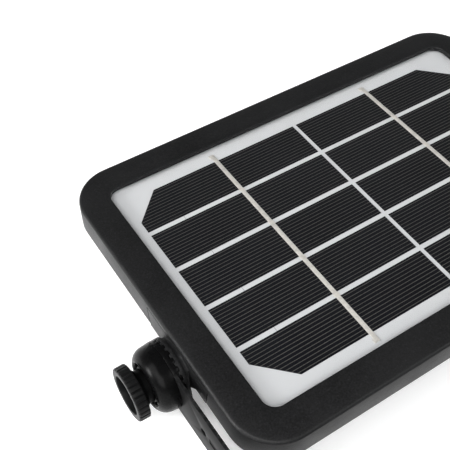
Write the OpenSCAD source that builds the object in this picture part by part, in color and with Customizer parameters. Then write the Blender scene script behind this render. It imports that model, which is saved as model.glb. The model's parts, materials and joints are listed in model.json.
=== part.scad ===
// Solar flood light: a flat lamp body with a solar panel on its back, held at both
// sides by a U-shaped tilt bracket that is clamped with fluted hand knobs.
// The lamp lies on its light side with the panel up. X runs along the long side,
// the bracket reaches toward -Y, and the floor is Z = 0.

/* [Body] */
// Width of the body across the bezel
body_w = 191; // [185:1:200]
// Depth of the body across the bezel
body_d = 132.6; // [130:0.2:138]
// Height of the body from the light side to the bezel's rim
body_h = 30; // [30:0.5:34]
// Width of the bezel's top face, from the window to the outer wall
bezel_w = 12; // [12:0.5:13]
// Corner radius of the bezel's window
window_r = 4.8; // [4.5:0.1:6]
// Depth of the bezel's skirt below its fold
skirt_h = 11.3; // [10.6:0.1:11.4]

/* [Solar panel] */
// Width of one solar cell
cell_w = 78; // [76:0.5:78]
// Depth of one solar cell
cell_d = 17.5; // [16:0.1:17.5]
// Gap between the two columns of cells
column_gap = 1.7; // [1:0.1:2]
// Gap between the five rows of cells
row_gap = 2; // [1.5:0.1:2]
// Corner cut of the four outermost cells
cell_cut = 12.1; // [8:0.1:14]
// Width of the tinned ribbons that join the cells
ribbon_w = 1.8; // [1.2:0.1:2.4]

/* [Tilt pivot] */
// Distance of the pivot axis from the body's middle, toward the bracket
pivot_offset = 17.6; // [10:0.2:20]
// Radius of the toothed rings and the domed cap's seam
boss_r = 12.2; // [12:0.1:12.6]
// Number of detent teeth, 15 degrees apart when there are 24
teeth = 24; // [24:1:24]
// Height of the detent teeth
tooth_h = 0.7; // [0.5:0.1:0.7]
// Radius of the fluted hand knob
knob_r = 9.8; // [9.4:0.1:10.4]
// Thickness of the knob's fluted band
knob_t = 4.2; // [3.8:0.1:5]
// Number of flutes round the knob
flutes = 30; // [20:2:36]

/* [Bracket] */
// Width of the bracket's strip
strap_w = 19.5; // [18:0.5:20]
// Thickness of the bracket's strip
strap_t = 1.2; // [1:0.1:1.2]
// Distance from the pivot axis to the bracket's outer face
arm_reach = 90.4; // [89:0.2:100]
// How far each arm leans inward at the cross bar
arm_lean = 0.9; // [0:0.1:1.5]
// Outer bend radius of the bracket
bend_r = 6; // [4:0.5:8]
// Radius of the bracket's middle mounting hole
main_hole_r = 4.2; // [3:0.1:5]
// Radius of the bracket's two side mounting holes
side_hole_r = 2.7; // [2:0.1:3.5]
// Distance between the two side mounting holes
side_hole_spacing = 80; // [60:1:120]

/* [Light] */
// Columns of light-emitting diodes
led_columns = 11; // [5:1:11]
// Rows of light-emitting diodes
led_rows = 6; // [3:1:6]
// Distance between diodes
led_pitch = 12; // [12:0.5:12.5]

/* [Hidden] */
$fn = 96;

// Overrun of a cutting tool past the face it opens
cut = 1;

// Heights
rim_z = body_h;
glass_z = rim_z - 1.9;
glass_t = 1;
cell_t = 0.2;
ribbon_t = 0.15;
board_t = 1.8;
board_top_z = glass_z - glass_t;
board_bottom_z = board_top_z - board_t;
plate_t = 1.9;
fold_z = rim_z - 0.35;
fold_r = 1.2;
skirt_z = fold_z - skirt_h;
skirt_t = 2;
flange_z = skirt_z + 0.2;
flange_t = 2.5;
flange_top_z = flange_z + flange_t;
floor_z = 1;
floor_t = 2.5;
floor_top_z = floor_z + floor_t;

// Plan sizes, all worked out from the bezel's window
window_w = body_w - 2 * bezel_w;
window_d = body_d - 2 * bezel_w;
tray_out = 3;
tray_t = 2;
tray_w = window_w + 2 * tray_out;
tray_d = window_d + 2 * tray_out;
tray_r = window_r + tray_out;
flange_out = bezel_w - skirt_t - 0.2;
rib_in = 3.3;
rib_out = 4.7;
seal_top_z = flange_top_z + 1.2;
panel_seal_t = 0.5;

// Body's middle in the whole part's frame, so that the footprint is centred
axis_y = -pivot_offset;
axis_z = 15;
body_y = (pivot_offset + arm_reach - body_d / 2) / 2;

// Places along the pivot axis, measured from the body's middle plane
wall_x = body_w / 2;
valley_x = wall_x + 2.6;
mesh_gap = 0.15;
land_x = valley_x + mesh_gap;
strap_x = land_x + 1.4;
seam_x = strap_x + strap_t;
cap_r = boss_r - 0.25;
cap_round = 5;
cap_x = seam_x + 7.75;
shoulder_x = cap_x - cap_round;
lip_round = 1;
lip_x = cap_x - lip_round - 0.45;
recess_x = lip_x - 1.95;
recess_r = 8;
knob_x = cap_x + 2.55;
knob_end_x = knob_x + knob_t;
hub_x = knob_x - 1.3;
bolt_r = 2.95;
bolt_hole_r = 3.3;
insert_r = 5;
insert_in_x = wall_x - 11;
insert_out_x = wall_x + 1.6;
bolt_in_x = insert_in_x - 0.6;
bolt_out_x = knob_x + 0.8;

// Pedestal that carries the pivot boss through the skirt's notch
notch_top_z = rim_z - 3.1;
notch_low_half = 18.3;
notch_top_half = 19.6;
notch_slope = (notch_top_half - notch_low_half) / (notch_top_z - skirt_z);
notch_gap = 0.3;
pedestal_z = skirt_z - 0.45;
pedestal_top_z = notch_top_z - notch_gap;
neck_r = 8.2;
neck_side = 7.8;
web_low_half = 7.4;
web_top_half = 12;
web_z = axis_z - 2;
tooth_base_t = 1.1;
inner_boss_r = 6;

// Screw places
screw_out = 6.8;
corner_screw_x = window_w / 2 - window_r + (window_r + screw_out) * cos(45);
corner_screw_y = window_d / 2 - window_r + (window_r + screw_out) * cos(45);
side_screw_x = 45;
side_screw_y = window_d / 2 + screw_out;
post_r = screw_out - rib_out;
post_bore_r = 1.25;
shank_r = 1.2;
screw_hole_r = 1.6;
screw_sink_r = 2.9;
screw_sink_t = 1;

// Light engine
light_y = 13;
lens_w = 142;
lens_d = 80;
lens_t = 2;
lens_r = 4;
seal_w = 3;
lens_seal_t = 0.4;
lens_z = floor_top_z + lens_seal_t;
reflector_z = lens_z + lens_t;
reflector_t = 3.9;
led_board_z = reflector_z + reflector_t + 0.1;
led_board_w = 158;
led_board_t = 1.6;
led_side = 2.8;
led_h = 0.8;
spreader_z = led_board_z + led_board_t;
spreader_t = 1.5;
led_screw_x = 75.5;
led_screw_ys = [-20, 13, 46];
led_post_r = 3;
frame_out = 3;

// Control board, behind the light engine at the back wall
control_w = 68;
control_d = 24;
control_y = 41;
control_z = 17;
control_t = 1.6;
control_screw_x = 30;
control_screw_dy = 9;
port_x = 14;
button_x = -14;
control_part_z = 14.4;
button_r = 2.9;
collar_r = 3.8;
light_pipe_r = 1.2;
wall_y = tray_d / 2;
port_half = 4.5;
port_low_z = 13.8;
port_wall = 0.35;
flap_half = 6.8;
flap_low_z = 12.1;
flap_high_z = 17.9;
flap_pin_r = 0.6;
vent_x = 40;
vent_z = 11;
vent_r = 3;
wire_r = 0.7;
wire_gap = 2.4;

// Battery
battery_r = 9.1;
battery_len = 65;
battery_y = -43.5;
battery_z = 14.8;
battery_gap = 3;
holder_w = 2 * battery_len + battery_gap + 6;
holder_d = 21;

// ---- Shared shapes ----

// Places children about the body's middle
module in_body() {
    translate([0, body_y, 0]) children();
}

// Places children on one side's pivot axis, with +Z pointing outward; side is -1 or 1
module on_axis(side) {
    translate([0, body_y + axis_y, axis_z]) rotate([0, 90 * side, 0]) children();
}

module round_rect(w, d, r) {
    square([w - 2 * r, d], center = true);
    square([w, d - 2 * r], center = true);
    for (sx = [-1, 1]) {
        for (sy = [-1, 1]) {
            translate([sx * (w / 2 - r), sy * (d / 2 - r)]) circle(r);
        }
    }
}

module round_plate(w, d, r, z, t) {
    translate([0, 0, z]) linear_extrude(t) round_rect(w, d, r);
}

module round_frame(w, d, r, rim, z, t) {
    difference() {
        round_plate(w, d, r, z, t);
        round_plate(w - 2 * rim, d - 2 * rim, max(r - rim, 0.6), z - cut, t + 2 * cut);
    }
}

module box(x0, x1, y0, y1, z0, z1) {
    translate([x0, y0, z0]) cube([x1 - x0, y1 - y0, z1 - z0]);
}

// Sweeps a profile, drawn as outward distance and height, round the window's outline
module sweep_round_window() {
    for (quarter = [0:3]) {
        long = quarter % 2 == 0;
        across = long ? window_w : window_d;
        along = long ? window_d : window_w;
        rotate([0, 0, 90 * quarter]) {
            translate([across / 2, along / 2 - window_r, 0])
                rotate([90, 0, 0]) linear_extrude(along - 2 * window_r) children();
            translate([across / 2 - window_r, along / 2 - window_r, 0])
                rotate_extrude(angle = 90) translate([window_r, 0]) children();
        }
    }
}

// A turned piece from an outline of [distance along the axis, radius] points
module turned(points) {
    rotate_extrude() polygon([for (p = points) [p[1], p[0]]]);
}

module disc(x0, x1, r) {
    translate([0, 0, x0]) cylinder(h = x1 - x0, r = r);
}

module housing_screw_places() {
    for (sx = [-1, 1]) {
        for (sy = [-1, 1]) {
            translate([sx * corner_screw_x, sy * corner_screw_y, 0]) children();
            translate([sx * side_screw_x, sy * side_screw_y, 0]) children();
        }
    }
}

module led_screw_places() {
    for (sx = [-1, 1]) {
        for (y = led_screw_ys) {
            translate([sx * led_screw_x, y, 0]) children();
        }
    }
}

module control_screw_places() {
    for (sx = [-1, 1]) {
        for (sy = [-1, 1]) {
            translate([sx * control_screw_x, control_y + sy * control_screw_dy, 0]) children();
        }
    }
}

module led_places() {
    for (i = [0:led_columns - 1]) {
        for (j = [0:led_rows - 1]) {
            translate([(i - (led_columns - 1) / 2) * led_pitch,
                       light_y + (j - (led_rows - 1) / 2) * led_pitch, 0]) children();
        }
    }
}

// A pan-head screw with a cross recess; its head's underside is at Z = 0, shank up
module pan_screw(head_r, head_t, shank_r, shank_len) {
    difference() {
        translate([0, 0, -head_t]) cylinder(h = head_t, r = head_r);
        for (a = [0, 90]) {
            rotate([0, 0, a])
                translate([0, 0, -head_t]) cube([head_r * 1.2, head_r * 0.28, head_t], center = true);
        }
    }
    cylinder(h = shank_len, r = shank_r);
}

// An insulated wire: straight eight-sided lengths that run into each other at the bends
module wire(points, r) {
    last = len(points) - 2;
    for (i = [0:last]) {
        span = points[i + 1] - points[i];
        flat = norm([span[0], span[1]]);
        over = i < last ? r / 2 : 0;
        translate(points[i])
            rotate([0, atan2(flat, span[2]), atan2(span[1], span[0])])
                cylinder(h = norm(span) + over, r = r, $fn = 8);
    }
}

// ---- Body shells ----

// The pedestal's outline in the side wall's plane: it fills the skirt's notch and
// slopes down to the neck below; the inset value draws it in
module pedestal_outline(inset, top_z) {
    low_z = pedestal_z + inset;
    low_half = notch_low_half - notch_gap - notch_slope * (skirt_z - pedestal_z) - inset;
    top_half = low_half + notch_slope * (top_z - low_z);
    web_top_z = low_z + 0.1;
    translate([axis_y, 0]) {
        polygon([[-low_half, low_z], [low_half, low_z], [top_half, top_z], [-top_half, top_z]]);
        polygon([[inset - web_low_half, web_z + inset], [web_low_half - inset, web_z + inset],
                 [web_top_half - inset, web_top_z], [inset - web_top_half, web_top_z]]);
    }
}

// The neck's outline between the wall and the teeth: round below, straight-sided above
module neck_outline() {
    translate([axis_y, axis_z]) {
        circle(neck_r);
        intersection() {
            circle(boss_r - 0.4);
            translate([-neck_side, 0]) square([2 * neck_side, pedestal_top_z - axis_z]);
        }
    }
}

module side_slab(x0, x1) {
    for (side = [-1, 1]) {
        translate([side > 0 ? x0 : -x1, 0, 0])
            rotate([90, 0, 90]) linear_extrude(x1 - x0) children();
    }
}

module front_housing() {
    color("#1b1c1e") in_body() {
        difference() {
            union() {
                // Tray wall and floor
                round_frame(tray_w, tray_d, tray_r, tray_t, floor_z,
                            board_bottom_z - panel_seal_t - floor_z);
                round_plate(tray_w, tray_d, tray_r, floor_z, floor_t);
                // Flange inside the skirt
                round_frame(window_w + 2 * flange_out, window_d + 2 * flange_out,
                            window_r + flange_out, flange_out - tray_out + 0.5,
                            flange_z, flange_t);
                // Pedestals, low part through the wall and high part in the notch
                side_slab(window_w / 2 + 2, window_w / 2 + rib_out + 1)
                    pedestal_outline(0.4, flange_top_z);
                side_slab(window_w / 2 + rib_out + 0.5, wall_x) pedestal_outline(0, pedestal_top_z);
                side_slab(window_w / 2 + rib_out + 0.5, valley_x - tooth_base_t) neck_outline();
                for (side = [-1, 1]) {
                    translate([0, axis_y, axis_z]) rotate([0, 90 * side, 0]) pivot_boss();
                }
                // Posts for the light engine
                led_screw_places() disc(floor_top_z - 0.5, led_board_z, led_post_r);
            }
            // Light window, and the seat for its outer frame
            translate([0, light_y, 0]) {
                round_plate(lens_w - 2 * seal_w, lens_d - 2 * seal_w, 2, floor_z - cut, floor_t + 2 * cut);
                round_plate(lens_w + 2 * frame_out, lens_d + 2 * frame_out, lens_r + frame_out - 1,
                            floor_z - cut, 2);
            }
            // Screw clearances with counterbores in the flange
            housing_screw_places() {
                disc(flange_z - cut, flange_top_z + cut, screw_hole_r);
                disc(flange_z - cut, flange_z + screw_sink_t, screw_sink_r);
            }
            led_screw_places() disc(floor_top_z + 1, led_board_z + cut, post_bore_r);
            // Pivot bores for the brass inserts
            for (side = [-1, 1]) {
                translate([0, axis_y, axis_z]) rotate([0, 90 * side, 0]) {
                    disc(insert_in_x, valley_x + tooth_h + cut, insert_r);
                    disc(insert_in_x - 2, insert_in_x + cut, bolt_hole_r);
                }
            }
            wall_openings();
        }
    }
}

// Toothed flange on the neck, and the insert's boss inside the tray
module pivot_boss() {
    disc(valley_x - tooth_base_t, valley_x, boss_r);
    disc(insert_in_x - 4, wall_x, inner_boss_r);
    detent_teeth(0);
}

// The ring of face teeth, wider and taller by the grow value when used as a cutter
module detent_teeth(grow) {
    foot = 0.95 + grow;
    tip = 0.5 + grow;
    intersection() {
        difference() {
            disc(valley_x - 0.2, valley_x + tooth_h + grow, boss_r + 3 * grow);
            disc(valley_x - cut, valley_x + tooth_h + cut, 8.6 - 3 * grow);
        }
        union() {
            for (i = [0:teeth - 1]) {
                rotate([0, 0, (i + 0.5) * 360 / teeth])
                    translate([6, 0, valley_x])
                        rotate([90, 0, 90]) linear_extrude(8)
                            polygon([[-foot, -0.2], [foot, -0.2],
                                     [tip, tooth_h + grow], [-tip, tooth_h + grow]]);
            }
        }
    }
}

// Openings in the tray's wall for the port, button, indicator and vent
module wall_openings() {
    box(port_x - port_half - 0.3, port_x + port_half + 0.3, wall_y - tray_t - cut, wall_y + cut,
        port_low_z - 0.3, control_z + 0.3);
    box(port_x - flap_half - 1.4, port_x + flap_half + 0.2, wall_y - 1, wall_y + cut,
        flap_low_z - 0.2, flap_high_z + 0.2);
    on_button_axis() disc(-cut, tray_t + cut, collar_r);
    translate([-button_x, 0, 0]) on_button_axis() disc(-cut, tray_t + cut, light_pipe_r);
    translate([vent_x, -wall_y, vent_z]) rotate([90, 0, 0]) disc(-tray_t - cut, cut, vent_r);
}

module bezel_profile() {
    polygon([[0, glass_z], [0, rim_z - 0.4], [0.4, rim_z], [6, rim_z],
             [bezel_w - fold_r, fold_z], [bezel_w, fold_z - fold_r], [bezel_w, skirt_z],
             [bezel_w - skirt_t, skirt_z], [bezel_w - skirt_t, rim_z - plate_t],
             [rib_out, rim_z - plate_t], [rib_out, seal_top_z], [rib_in, seal_top_z],
             [rib_in, glass_z]]);
    translate([bezel_w - fold_r, fold_z - fold_r]) circle(fold_r);
}

module bezel() {
    color("#202124") in_body() difference() {
        union() {
            sweep_round_window() bezel_profile();
            housing_screw_places() disc(flange_top_z, rim_z - plate_t + 0.5, post_r);
        }
        housing_screw_places() disc(flange_top_z - cut, rim_z - plate_t - 1, post_bore_r);
        side_slab(wall_x - skirt_t - cut, wall_x + cut)
            polygon([[axis_y - notch_low_half, skirt_z - cut], [axis_y + notch_low_half, skirt_z - cut],
                     [axis_y + notch_top_half, notch_top_z], [axis_y - notch_top_half, notch_top_z]]);
    }
}

module body_seal() {
    color("#3a3a3a") in_body() sweep_round_window()
        translate([rib_in, flange_top_z]) square([rib_out - rib_in, seal_top_z - flange_top_z]);
}

module housing_screws() {
    color("silver") in_body() housing_screw_places()
        translate([0, 0, flange_z + screw_sink_t]) pan_screw(2.7, 1.6, shank_r, 6.5);
}

// ---- Solar panel ----

array_w = 2 * cell_w + column_gap;
array_d = 5 * cell_d + 4 * row_gap;
panel_w = window_w + 2 * tray_out - 0.2;
panel_d = window_d + 2 * tray_out - 0.2;
panel_r = tray_r - 0.1;
ribbon_over = 3;
ribbon_x = cell_w / 2 + column_gap / 2;
ribbon_shift = 1.65;

module cell_array(t) {
    intersection() {
        union() {
            for (column = [0:1]) {
                for (row = [0:4]) {
                    translate([column * (cell_w + column_gap) - array_w / 2,
                               row * (cell_d + row_gap) - array_d / 2, 0]) cube([cell_w, cell_d, t]);
                }
            }
        }
        translate([0, 0, -cut]) linear_extrude(t + 2 * cut)
            polygon([for (s = [[1, 1], [-1, 1], [-1, -1], [1, -1]])
                     for (k = (s[0] * s[1] > 0) ? [0, 1] : [1, 0])
                     [s[0] * (array_w / 2 - k * cell_cut), s[1] * (array_d / 2 - (1 - k) * cell_cut)]]);
    }
}

module ribbon_pair(t) {
    for (side = [-1, 1]) {
        translate([side * (ribbon_x - ribbon_shift), 0, t / 2])
            cube([ribbon_w, array_d + 2 * ribbon_over, t], center = true);
    }
}

module panel_board() {
    color("#dfe1e2") in_body() round_plate(panel_w, panel_d, panel_r, board_bottom_z, board_t);
}

module solar_cells() {
    color("#15171c") in_body() translate([0, 0, board_top_z]) cell_array(cell_t);
}

module cell_ribbons() {
    color("#cfc9bf") in_body() translate([0, 0, board_top_z + cell_t]) ribbon_pair(ribbon_t);
}

module panel_glazing() {
    color([0.9, 0.95, 1, 0.25]) in_body() difference() {
        round_plate(panel_w, panel_d, panel_r, board_top_z, glass_t);
        translate([0, 0, board_top_z - cut]) cell_array(cell_t + cut);
        translate([0, 0, board_top_z - cut]) ribbon_pair(cell_t + ribbon_t + cut);
    }
}

module panel_seal() {
    color("#303030") in_body()
        round_frame(tray_w, tray_d, tray_r, tray_t, board_bottom_z - panel_seal_t, panel_seal_t);
}

// ---- Light engine ----

module lens_frame() {
    color("#0f0f10") in_body() translate([0, light_y, 0]) difference() {
        round_plate(lens_w + 2 * frame_out - 0.4, lens_d + 2 * frame_out - 0.4, lens_r + frame_out - 1.2,
                    0, 2);
        round_plate(lens_w - 10, lens_d - 10, 2, -cut, 4);
    }
}

module lens_seal() {
    color("#404040") in_body() translate([0, light_y, 0])
        round_frame(lens_w, lens_d, lens_r, seal_w, floor_top_z, lens_seal_t);
}

module lens() {
    color([0.85, 0.92, 1, 0.35]) in_body() translate([0, light_y, 0])
        round_plate(lens_w, lens_d, lens_r, lens_z, lens_t);
}

module reflector() {
    color("white") in_body() difference() {
        translate([0, light_y, 0]) round_plate(lens_w, lens_d, lens_r, reflector_z, reflector_t);
        led_places() translate([0, 0, reflector_z - 0.01])
            cylinder(h = reflector_t + 0.02, r1 = 5.2, r2 = 2.3, $fn = 48);
    }
}

module led_board() {
    color("#f2f2ee") in_body() difference() {
        translate([0, light_y, 0]) round_plate(led_board_w, lens_d, 3, led_board_z, led_board_t);
        led_screw_places() disc(led_board_z - cut, led_board_z + led_board_t + cut, screw_hole_r);
    }
}

module leds() {
    color("#e8d27a") in_body() led_places()
        translate([0, 0, led_board_z - led_h / 2]) cube([led_side, led_side, led_h], center = true);
}

module heat_spreader() {
    color("#b9bcc0") in_body() difference() {
        union() {
            translate([0, light_y, 0]) round_plate(led_board_w, lens_d, 3, spreader_z, spreader_t);
            for (side = [-1, 1]) {
                for (i = [0:6]) {
                    translate([side * (43 + 4.5 * i), light_y, spreader_z + spreader_t + 2])
                        cube([1.5, lens_d - 22, 4.2], center = true);
                }
            }
            control_screw_places() disc(spreader_z + spreader_t - 0.2, control_z, 2.6);
        }
        led_screw_places() disc(spreader_z - cut, spreader_z + spreader_t + cut, screw_hole_r);
        control_screw_places() disc(spreader_z + spreader_t, control_z + cut, post_bore_r);
    }
}

module led_board_screws() {
    color("silver") in_body() led_screw_places()
        translate([0, 0, spreader_z + spreader_t]) mirror([0, 0, 1]) pan_screw(2.6, 1.5, shank_r, 8);
}

// ---- Battery ----

module battery_places() {
    for (side = [-1, 1]) {
        translate([side * (battery_gap + battery_len) / 2, battery_y, battery_z])
            rotate([0, 90, 0]) children();
    }
}

module battery_cells() {
    color("#3d8a4f") in_body() battery_places() {
        cylinder(h = battery_len - 1.5, r = battery_r, center = true);
        cylinder(h = battery_len, r = 3, center = true);
    }
}

module battery_holder() {
    color("#26282b") in_body() difference() {
        translate([0, battery_y, floor_top_z])
            linear_extrude(10) square([holder_w, holder_d], center = true);
        battery_places() cylinder(h = battery_len + 0.8, r = battery_r + 0.15, center = true);
    }
}

module battery_contacts() {
    color("#c9c4b5") in_body() for (side = [-1, 1]) {
        for (end = [-1, 1]) {
            x = side * (battery_gap + battery_len) / 2 + end * (battery_len / 2 + 0.2);
            translate([x, battery_y, battery_z]) cube([0.4, 8, 9], center = true);
        }
    }
}

module battery_pad() {
    color("#55585c") in_body() translate([0, battery_y, board_bottom_z - 0.7])
        cube([2 * battery_len, 6, 1.4], center = true);
}

// ---- Control board and what is on it ----

module control_board() {
    color("#1f5a35") in_body() difference() {
        translate([0, control_y, 0]) round_plate(control_w, control_d, 2, control_z, control_t);
        control_screw_places() disc(control_z - cut, control_z + control_t + cut, screw_hole_r);
    }
}

module board_components() {
    top = control_z + control_t;
    color("#2c2c2e") in_body() {
        box(-24, -17, 34, 41, top, top + 4);
        box(-10, -3, 38, 43, top, top + 1.6);
        box(4, 9, 33, 38, top, top + 1.2);
        translate([18, 45, top]) cylinder(h = 5, r = 3);
        translate([25, 42, top]) cylinder(h = 5, r = 3);
        box(-6, 6, 47, 51, top, top + 1.4);
    }
}

module board_screws() {
    color("silver") in_body() control_screw_places()
        translate([0, 0, control_z + control_t]) mirror([0, 0, 1]) pan_screw(2.4, 1.3, shank_r, 4.5);
}

module usb_port() {
    color("#c2c5c9") in_body() difference() {
        box(port_x - port_half, port_x + port_half, wall_y - 9.6, wall_y - 1.2, port_low_z, control_z);
        box(port_x - port_half + port_wall, port_x + port_half - port_wall, wall_y - 8, wall_y,
            port_low_z + port_wall, control_z - port_wall);
    }
}

module usb_flap() {
    pin_x = port_x - flap_half - 0.5;
    color("#242424") in_body() {
        // Lid, plug, hinge pin with its web, and finger tab
        box(port_x - flap_half, port_x + flap_half, wall_y - 0.8, wall_y + 0.4, flap_low_z, flap_high_z);
        box(port_x - 3.8, port_x + 3.8, wall_y - 2.4, wall_y - 0.8, 14.5, 16.3);
        translate([pin_x, wall_y - 0.2, flap_low_z + 1]) cylinder(h = 4, r = flap_pin_r);
        box(pin_x, port_x - flap_half, wall_y - 0.5, wall_y + 0.1, flap_low_z + 1, flap_high_z - 1);
        box(port_x + flap_half, port_x + flap_half + 1.2, wall_y + 0.05, wall_y + 0.4, 14, 16.2);
    }
}

module on_button_axis() {
    translate([button_x, wall_y, control_part_z]) rotate([90, 0, 0]) children();
}

module tact_switch() {
    color("#2a2a2c") in_body() difference() {
        box(button_x - 3, button_x + 3, wall_y - 13, wall_y - 9, 13.1, control_z);
        on_button_axis() disc(8.5, 11, 1.1);
    }
}

module switch_plunger() {
    color("#e0ddd2") in_body() on_button_axis() disc(7, 9.8, 1);
}

module power_button() {
    color("#2b2c2e") in_body() on_button_axis() {
        disc(-1.2, tray_t, button_r);
        disc(tray_t, tray_t + 0.8, button_r + 0.6);
        disc(tray_t + 0.8, 7, 1.3);
    }
}

module button_collar() {
    color("#3a3b3d") in_body() on_button_axis() difference() {
        union() {
            disc(0, tray_t, collar_r);
            disc(-0.6, 0, collar_r + 0.4);
        }
        disc(-cut, tray_t + cut, button_r + 0.06);
    }
}

module indicator_lens() {
    color("#d8f0ff") in_body() translate([-button_x, 0, 0]) on_button_axis() disc(-0.3, 6, light_pipe_r);
}

module vent_plug() {
    color("#343538") in_body() translate([vent_x, -wall_y, vent_z]) rotate([90, 0, 0]) {
        disc(0, 1, vent_r + 1.6);
        disc(-tray_t - 0.6, 0, vent_r);
    }
}

// ---- Internal wires ----

module wire_pair(points) {
    wire(points, wire_r);
    wire([for (p = points) p + [wire_gap, 0, 0]], wire_r);
}

module panel_wires() {
    color("#a02020") in_body()
        wire_pair([[-4, 12, board_bottom_z], [-4, 12, 22.4], [-4, 31, 21.4], [-4, 31, 18.6]]);
}

module battery_wires() {
    color("#a02020") in_body()
        wire_pair([[3, -33, 12], [3, -29.5, 12], [3, -29.5, 21.5], [3, 31, 21.5], [3, 31, 18.6]]);
}

module led_wires() {
    color("#20202a") in_body()
        wire_pair([[12, 22, spreader_z + spreader_t], [12, 22, 15.5], [12, 33, 15.5], [12, 33, 17]]);
}

// ---- Tilt pivot, one of each per side ----

module pivot_insert(side) {
    color("#b08d3c") on_axis(side) difference() {
        disc(insert_in_x, insert_out_x, insert_r);
        disc(insert_in_x - cut, insert_out_x + cut, 3);
    }
}

module tooth_ring(side) {
    color("#1d1e20") on_axis(side) difference() {
        disc(land_x, seam_x, boss_r);
        detent_teeth(mesh_gap);
        disc(land_x - cut, seam_x + cut, bolt_hole_r);
        disc(strap_x, seam_x + cut, strap_w / 2 + 0.15);
        translate([-strap_w / 2 - 0.15, -boss_r - cut, strap_x])
            cube([strap_w + 0.3, boss_r + cut, strap_t + cut]);
    }
}

module pivot_cap(side) {
    color("#26272a") on_axis(side) difference() {
        rotate_extrude() {
            polygon([[0, seam_x], [boss_r, seam_x], [cap_r, shoulder_x], [0, shoulder_x]]);
            translate([0, seam_x]) square([recess_r + lip_round, lip_x - seam_x]);
            translate([recess_r + lip_round, lip_x]) circle(lip_round);
            intersection() {
                translate([cap_r - cap_round, shoulder_x]) circle(cap_round);
                translate([recess_r + lip_round, shoulder_x]) square(cap_round);
            }
        }
        disc(seam_x - cut, cap_x + cut, bolt_hole_r);
        disc(recess_x, cap_x + cut, recess_r);
    }
}

module knob_washer(side) {
    color("#35363a") on_axis(side) difference() {
        turned([[recess_x, 0], [recess_x, 7.2], [recess_x + 0.9, 7.2], [recess_x + 0.9, 6],
                [recess_x + 1.7, 6], [recess_x + 1.7, 6.6], [recess_x + 2.5, 6.6],
                [recess_x + 2.5, 6], [hub_x, 6], [hub_x, 0]]);
        disc(recess_x - cut, hub_x + cut, bolt_hole_r);
    }
}

module knob(side) {
    front_bore_r = 7.1;
    color("#232427") on_axis(side) difference() {
        turned([[hub_x, 0], [hub_x, 6.6], [knob_x, 7.6], [knob_x, knob_r - 0.3], [knob_x + 0.3, knob_r],
                [knob_end_x - 0.5, knob_r], [knob_end_x, knob_r - 0.6], [knob_end_x, 0]]);
        disc(knob_x + 1.3, knob_end_x + cut, front_bore_r);
        disc(hub_x - cut, bolt_out_x, bolt_r);
        for (i = [0:flutes - 1]) {
            rotate([0, 0, i * 360 / flutes])
                translate([knob_r + 0.05, 0, knob_x - cut])
                    cylinder(h = knob_t + 2 * cut, r = 0.38, $fn = 24);
        }
    }
}

module knob_bolt(side) {
    color("#c0c2c6") on_axis(side) disc(bolt_in_x, bolt_out_x, bolt_r);
}

// ---- Bracket ----

bar_y = axis_y - arm_reach;
arm_hole_r = 1.5;
arm_hole_out = 25;
groove_w = 3;
groove_len = 45;
straight_end_y = axis_y - 14;
bar_half = seam_x - arm_lean;
lean_angle = -atan(arm_lean / (straight_end_y - bar_y - bend_r));

// The filled shape inside the strip's outer face, drawn in by the inset value
module bracket_fill(inset, top_y) {
    straight_x = seam_x - inset;
    bar_x = bar_half - inset;
    polygon([[-straight_x, top_y], [-straight_x, straight_end_y], [-bar_x, bar_y + bend_r],
             [bar_x, bar_y + bend_r], [straight_x, straight_end_y], [straight_x, top_y]]);
    for (side = [-1, 1]) {
        translate([side * (bar_half - bend_r), bar_y + bend_r]) circle(bend_r - inset);
    }
    translate([bend_r - bar_half, bar_y + inset]) square([2 * (bar_half - bend_r), bend_r]);
}

// The strip's plan: two arms that lean inward a little, two bends and the cross bar
module bracket_plan() {
    end_y = axis_y + strap_w / 2;
    difference() {
        bracket_fill(0, end_y);
        bracket_fill(strap_t, end_y + cut);
    }
}

// A rod right across both arms at the pivot's height
module across(y, r) {
    translate([0, y, axis_z]) rotate([0, 90, 0]) cylinder(h = 2 * wall_x + 60, r = r, center = true);
}

module bracket() {
    color("#2e2f32") in_body() difference() {
        translate([0, 0, axis_z - strap_w / 2]) linear_extrude(strap_w) bracket_plan();
        // Round the arms' ends about the pivot axis
        difference() {
            box(-wall_x - 20, wall_x + 20, axis_y, axis_y + strap_w, axis_z - strap_w, axis_z + strap_w);
            across(axis_y, strap_w / 2);
        }
        // Pivot holes and the small arm holes
        across(axis_y, bolt_hole_r);
        across(axis_y - arm_hole_out, arm_hole_r);
        // Pressed groove along each arm's outer face
        for (side = [-1, 1]) {
            translate([side * (seam_x + 0.1), straight_end_y, axis_z]) rotate([0, 0, side * lean_angle])
                translate([side * 1.15, -37, 0]) cube([3, groove_len, groove_w], center = true);
        }
        // Mounting holes in the cross bar
        translate([0, bar_y - cut, axis_z]) rotate([-90, 0, 0]) {
            cylinder(h = strap_t + 2 * cut, r = main_hole_r);
            for (side = [-1, 1]) {
                translate([side * side_hole_spacing / 2, 0, 0])
                    cylinder(h = strap_t + 2 * cut, r = side_hole_r);
            }
        }
    }
}

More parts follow.
